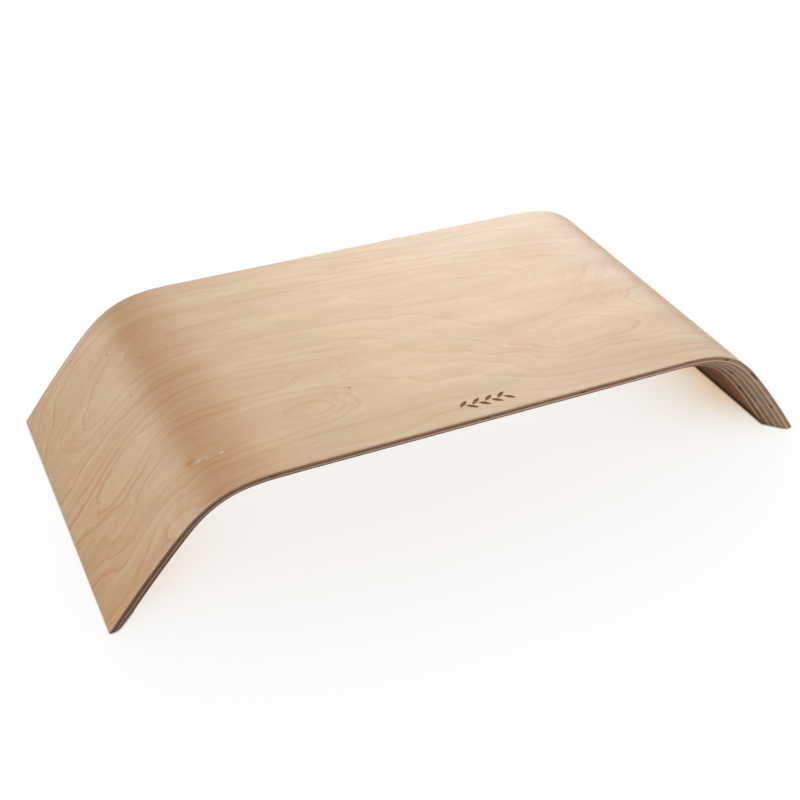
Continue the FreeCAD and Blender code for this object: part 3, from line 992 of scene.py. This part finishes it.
def glue_edges(tree, share, upper, lower):
    """Nearness to the glue lines above and below, between pairs of shares of the depth."""
    return tree.math("MAXIMUM", tree.step(share, *upper, DARK_TO_PALE),
                     tree.step(share, *lower))


def long_edge_material(name, seed):
    """Sanded edge of a veneer whose grain runs along the board."""
    tree = material_tree(name)
    run, y, depth = tree.attr_mm("gs"), tree.attr_mm("gy"), tree.attr_mm("gt")

    def streaks(length, height, third, **noise):
        return tree.noise(tree.vec(run * (1 / length), depth * (1 / height), third), **noise)

    fibre = streaks(22, 0.22, y * 0.04, detail=4, rough=0.65)
    mottle = streaks(34, 3.0, seed, detail=3, rough=0.55)
    dash = tree.step(streaks(4.0, 0.16, seed + 4, detail=1), 0.64, 0.76)
    colour = tree.mix(tree.ramp(mottle, 0.3, 0.7), lin(238, 222, 196), lin(218, 194, 164))
    colour = tree.mix(tree.ramp(fibre, 0.35, 0.7) * 0.30, colour, lin(150, 118, 86))
    colour = tree.mix(dash * 0.35, colour, lin(112, 80, 56))
    glue = glue_edges(tree, tree.attr("gp"), upper=(0.02, 0.24), lower=(0.76, 0.98))
    colour = tree.mix(glue * 0.7, colour, lin(178, 116, 82))
    colour = tree.times(colour, tree.along(run, edge_fall(1.0, LINE_TONE, deep=True)))
    return tree.finish(colour, tree.ramp(fibre, 0.3, 0.7, to=(0.5, 0.62)),
                       fibre * 0.6 - glue * 0.5, bump_distance=0.00005, bump_strength=0.6,
                       specular=0.4)


def cross_edge_material(name, seed, tones):
    """Sanded edge of a crossband: end grain, dark and speckled with cut vessels."""
    tree = material_tree(name)
    run, depth = tree.attr_mm("gs"), tree.attr_mm("gt")

    def place(length, height, offset):
        return tree.vec(run * (1 / length), depth * (1 / height), offset + seed)

    broad = tree.noise(place(13, 2.2, 1.0), detail=3, rough=0.6)
    medium = tree.noise(place(2.6, 0.7, 2.0), detail=3, rough=0.6)
    cells = tree.value("ShaderNodeTexVoronoi", "Distance",
                       {"Vector": place(0.28, 0.28, 3.0), "Scale": 1.0},
                       voronoi_dimensions="3D", feature="F1")
    pores = tree.step(cells, 0.16, 0.34, DARK_TO_PALE)
    ray = tree.noise(place(0.5, 1.6, 5.0), rough=0.6)
    colour = tree.mix(tree.ramp(broad, 0.34, 0.66), lin(160, 120, 90), lin(124, 88, 64))
    colour = tree.mix(tree.ramp(medium, 0.3, 0.75, to=(0.0, 0.5)), colour, lin(184, 146, 112))
    colour = tree.mix(tree.ramp(ray, 0.45, 0.7) * 0.28, colour, lin(104, 70, 50))
    colour = tree.mix(pores * 0.42, colour, lin(82, 52, 36))
    black = tree.step(tree.noise(place(8.5, 2.6, 8.0), rough=0.55), 0.64, 0.74)
    colour = tree.mix(black * 0.6, colour, lin(58, 38, 28))
    glue = glue_edges(tree, tree.attr("gp"), upper=(0.0, 0.16), lower=(0.84, 1.0))
    colour = tree.mix(glue * 0.6, colour, lin(118, 66, 44))
    colour = tree.times(colour, tree.along(run, tones))
    ragged = tree.ramp(tree.noise(place(0.9, 0.5, 7.0), rough=0.6), 0.35, 0.62,
                       to=(0.25, 0.85))
    # painted shade: the inside of the gaps is coloured dark
    colour = tree.mix(tree.step(tree.attr("gap"), 0.15, 1.0) * ragged, colour, lin(62, 42, 32))
    return tree.finish(colour, tree.ramp(medium, 0.3, 0.7, to=(0.6, 0.75)),
                       medium * 0.7 - pores * 0.8, bump_distance=0.00008, bump_strength=0.7,
                       specular=0.35)


def silicone_material():
    tree = material_tree("pad_silicone_finish")
    place = tree.value("ShaderNodeTexCoord", "Object")
    speckle = tree.noise(place, scale=900.0, detail=3, rough=0.6)
    cloud = tree.noise(place, scale=190.0)
    colour = tree.mix(tree.ramp(cloud, 0.3, 0.7), lin(196, 196, 192), lin(176, 176, 172))
    colour = tree.mix(tree.step(speckle, 0.62, 0.7) * 0.35, colour, lin(138, 136, 130))
    return tree.finish(colour, tree.ramp(speckle, 0.3, 0.7, to=(0.38, 0.55)), speckle,
                       bump_distance=0.00005, bump_strength=0.5, specular=0.5,
                       extra={"Subsurface Weight": 0.15,
                              "Subsurface Radius": (0.002, 0.002, 0.002)})


# ------------------------------------------------------------------- the pads
PAD_RIM = 0.42              # radius of the rounded lower rim
PAD_SEGMENTS = 56


def pad_piece(node):
    """Low silicone disc: flat top, softly rounded rim, very shallow dome under it."""
    low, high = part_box(node)
    centre_x, centre_y = (low.x + high.x) / 2 / MM, (low.y + high.y) / 2 / MM
    radius = (high.x - low.x) / 2 / MM
    height = (high.z - low.z) / MM
    # (radius, height) from the middle of the underside to the middle of the top
    profile = [(0.0, 0.0), (radius * 0.45, 0.004), (radius * 0.72, 0.012),
               (radius * 0.86, 0.03)]
    for a in np.linspace(0, math.pi / 2, 7):
        profile.append((radius - PAD_RIM + PAD_RIM * math.sin(a),
                        0.04 + PAD_RIM * (1 - math.cos(a))))
    profile += [(radius, height * 0.72), (radius - 0.06, height * 0.93),
                (radius - 0.14, height), (radius * 0.6, height), (0.0, height)]
    verts, faces, rings = [], [], []
    for ring_radius, z in profile:
        count = PAD_SEGMENTS if ring_radius else 1
        rings.append(range(len(verts), len(verts) + count))
        for k in range(count):
            a = 2 * math.pi * k / PAD_SEGMENTS
            verts.append((centre_x + ring_radius * math.cos(a),
                          centre_y + ring_radius * math.sin(a), low.z / MM + z))
    for a, b in zip(rings[:-1], rings[1:]):
        for k in range(PAD_SEGMENTS):
            j = (k + 1) % PAD_SEGMENTS
            if len(a) == 1:
                faces.append((a[0], b[k], b[j]))
            elif len(b) == 1:
                faces.append((a[k], b[0], a[j]))
            else:
                faces.append((a[k], b[k], b[j], a[j]))
    obj = new_object(node + "_disc", verts, faces, smooth_angle=40)
    face_outwards(obj.data)
    return obj


# ----------------------------------------------------------------- the pieces
face_material = veneer_material(
    "birch_face_finish", pale=(245, 204, 151), tan=(233, 184, 128), ring=(224, 147, 46),
    seed=0.0, line_gain=1.0, rough=0.34, inner=False)
back_material = veneer_material(
    "birch_back_finish", pale=(219, 170, 125), tan=(205, 151, 107), ring=(182, 104, 52),
    seed=31.0, line_gain=0.9, rough=0.46, inner=True)

face, run, y, depth = face_piece()
put_place(face.data, run, y, depth, 0)
run, y, depth = engrave(face)
put_place(face.data, run, y, depth, 0)
put_figure(face.data, run, y)
face.data.materials.append(face_material)
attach(face, "root")
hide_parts("face_veneer")

for i in range(1, 10):
    ply = inner_ply(i)
    ply.name = PIECES[i] + "_lay"
    if i % 2:
        tones = edge_fall(0.85 if i == 1 else 1.05, BAND_TONE[i], deep=i > 1)
        material = cross_edge_material("crossband_edge_%02d" % (i + 1), 13.0 * i, tones)
        ply.data.materials.append(material)
    else:
        material = long_edge_material("long_ply_edge_%02d" % (i + 1), 17.0 * i)
        ply.data.materials.append(material)
    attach(ply, "root")
    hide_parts(PIECES[i])

back, run, y, depth = back_piece()
put_place(back.data, run, y, depth, 10)
put_figure(back.data, run, y, inner=True)
back.data.materials.append(back_material)
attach(back, "root")
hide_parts("back_veneer")

pad_material = silicone_material()
for node in ("front_left_pad", "front_right_pad", "rear_left_pad", "rear_right_pad"):
    pad = pad_piece(node)
    pad.data.materials.append(pad_material)
    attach(pad, "root")
    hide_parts(node)

# ------------------------------------------------------------------ the floor
FLOOR_SIZE, FLOOR_CELLS = 9.0, 24       # metres, cells a side


def floor_material():
    """Looks white to the camera, with painted shade round the object and painted contact shadow
    at the feet; it bounces light to the board and glows a faint warm light of its own.
    """
    tree = material_tree("floor_finish")
    # lengths here are in metres
    position = tree.value("ShaderNodeNewGeometry", "Position")
    split = tree.add("ShaderNodeSeparateXYZ", {0: position})
    x, y = (Value(tree, split.outputs[axis]) for axis in "XY")

    def size(value):
        return tree.math("ABSOLUTE", value)

    def exponential(power):
        return tree.math("POWER", 2.71828, power)

    # painted shade: the floor under the board is coloured darker, so it throws less light back up
    # than the open floor
    under = (tree.step(size(y), 0.088, 0.122, DARK_TO_PALE)
             * tree.step(size(x), 0.240, 0.262, DARK_TO_PALE))
    bounce = tree.value("ShaderNodeBsdfDiffuse", 0, {
        "Color": tree.mix(under, (0.80, 0.785, 0.765, 1), (0.22, 0.19, 0.16, 1))})
    # painted glow: the floor gives off a faint warm light onto the board, less of it under the
    # board
    painted_warm_glow = tree.value("ShaderNodeEmission", 0, {
        "Color": (1.0, 0.80, 0.62, 1), "Strength": tree.ramp(under, 0.0, 1.0, to=(0.05, 0.01))})
    # painted shade: soft grey round the object, fading to white
    u = (x + 0.03) / 0.25
    v = (y + 0.075) / 0.105
    painted_shade_veil = exponential((u * u + v * v) * -1.0)
    # brown shade just inside the feet
    inward = 0.2415 - size(x)
    corner = exponential(tree.math("MAXIMUM", inward, 0.0) * -31.0)
    corner = corner * tree.step(inward, -0.012, 0.0)
    corner = corner * tree.step(size(y), 0.050, 0.124, DARK_TO_PALE)
    # painted contact shadow right at the feet
    painted_contact_shadow = tree.mix(tree.step(tree.occlusion(0.0017), 0.30, 0.80),
                       (0.16, 0.11, 0.085, 1), (1, 1, 1, 1))
    tint = tree.mix(painted_shade_veil, (0.868, 0.860, 0.846, 1), (0.822, 0.798, 0.766, 1))
    tint = tree.mix(corner, tint, (0.66, 0.46, 0.27, 1))
    glow = tree.value("ShaderNodeEmission", 0, {
        "Color": tree.mix(1.0, tint, painted_contact_shadow, "MULTIPLY"), "Strength": 1.0})
    diffuse = tree.value("ShaderNodeBsdfDiffuse", 0, {"Color": (0.24, 0.26, 0.29, 1)})
    shader = tree.value("ShaderNodeMixShader", 0, {
        0: tree.value("ShaderNodeLightPath", "Is Camera Ray"),
        1: tree.value("ShaderNodeAddShader", 0, {0: bounce, 1: painted_warm_glow}),
        2: tree.value("ShaderNodeAddShader", 0, {0: diffuse, 1: glow})})
    tree.add("ShaderNodeOutputMaterial", {"Surface": shader})
    return tree.owner


floor_mesh = bpy.data.meshes.new("floor")
n = FLOOR_CELLS
floor_verts = [((i / n - 0.5) * FLOOR_SIZE, (j / n - 0.5) * FLOOR_SIZE, 0.0)
               for j in range(n + 1) for i in range(n + 1)]
corners = [j * (n + 1) + i for j in range(n) for i in range(n)]
floor_mesh.from_pydata(floor_verts, [], [(a, a + 1, a + n + 2, a + n + 1) for a in corners])
floor = bpy.data.objects.new("floor", floor_mesh)
bpy.context.scene.collection.objects.link(floor)
floor_mesh.materials.append(floor_material())

# ------------------------------------------------------------------ the light
# soft lights round the object: (bearing from straight behind, towards +X; height;
# tightness; strength), angles in degrees
LIGHTS = [(-45, 10, 45, 1.996), (-30, 10, 45, 1.750), (15, 10, 45, 2.518), (30, 10, 45, 0.718),
          (45, 10, 45, 1.986), (-60, 25, 45, 1.650), (0, 25, 45, 0.883), (30, 25, 45, 4.827),
          (45, 40, 45, 0.386), (180, 20, 4, 1.339), (90, 35, 6, 0.558)]
AMBIENT = 0.18
WHITE = (1, 1, 1, 1)

world = bpy.data.worlds.new("studio")
bpy.context.scene.world = world
sky = Tree(world)


def sky_math(operation, a, b):
    """Two-input Math node whose third socket keeps its default."""
    return sky.value("ShaderNodeMath", 0, {0: a, 1: b}, operation=operation)


def light_patch(bearing, height, tightness, strength):
    """A soft bright patch of sky."""
    bearing, height = math.radians(bearing), math.radians(height)
    direction = Vector((math.sin(bearing) * math.cos(height),
                        math.cos(bearing) * math.cos(height), math.sin(height))).normalized()
    view = sky.value("ShaderNodeTexCoord", "Generated")
    facing = sky.value("ShaderNodeVectorMath", "Value", {0: view, 1: direction},
                       operation="DOT_PRODUCT")
    falloff = sky_math("POWER", sky_math("MAXIMUM", facing, 0.0), tightness)
    return sky_math("MULTIPLY", falloff, strength)


brightness = light_patch(*LIGHTS[0])
for light in LIGHTS[1:]:
    brightness = sky_math("ADD", brightness, light_patch(*light))
brightness = sky_math("ADD", brightness, AMBIENT)
# the camera itself sees plain white
sky_shader = sky.value("ShaderNodeMixShader", 0, {
    0: sky.value("ShaderNodeLightPath", "Is Camera Ray"),
    1: sky.value("ShaderNodeBackground", 0, {"Color": WHITE, "Strength": brightness}),
    2: sky.value("ShaderNodeBackground", 0, {"Color": WHITE, "Strength": 1.0})})
sky.add("ShaderNodeOutputWorld", {"Surface": sky_shader})

# ----------------------------------------------------------------- the camera
AZIMUTH, ELEVATION, ROLL = -0.464828, 0.663923, 0.032481       # radians
DISTANCE = 871.144
TARGET = (-27.830, -40.056, 10.627 + FOOT_Z)

backward = Vector((math.sin(AZIMUTH) * math.cos(ELEVATION),
                   -math.cos(AZIMUTH) * math.cos(ELEVATION), math.sin(ELEVATION)))
eye = Vector(TARGET) * MM + backward * DISTANCE * MM
level_right = (-backward).cross(Vector((0, 0, 1))).normalized()
level_up = level_right.cross(-backward)
right = level_right * math.cos(ROLL) + level_up * math.sin(ROLL)
up = -level_right * math.sin(ROLL) + level_up * math.cos(ROLL)
lens = bpy.data.cameras.new("camera")
lens.sensor_fit = "HORIZONTAL"
lens.sensor_width = 36.0
lens.lens = 55.404315
lens.shift_x, lens.shift_y = -0.00329, 0.0657075
lens.clip_start, lens.clip_end = 0.01, 50.0
camera = bpy.data.objects.new("camera", lens)
bpy.context.scene.collection.objects.link(camera)
camera.matrix_world = Matrix([(right[k], up[k], backward[k], eye[k]) for k in range(3)]
                             + [(0, 0, 0, 1)])
bpy.context.scene.camera = camera
bpy.context.scene.view_settings.view_transform = "Standard"
bpy.context.scene.view_settings.look = "None"
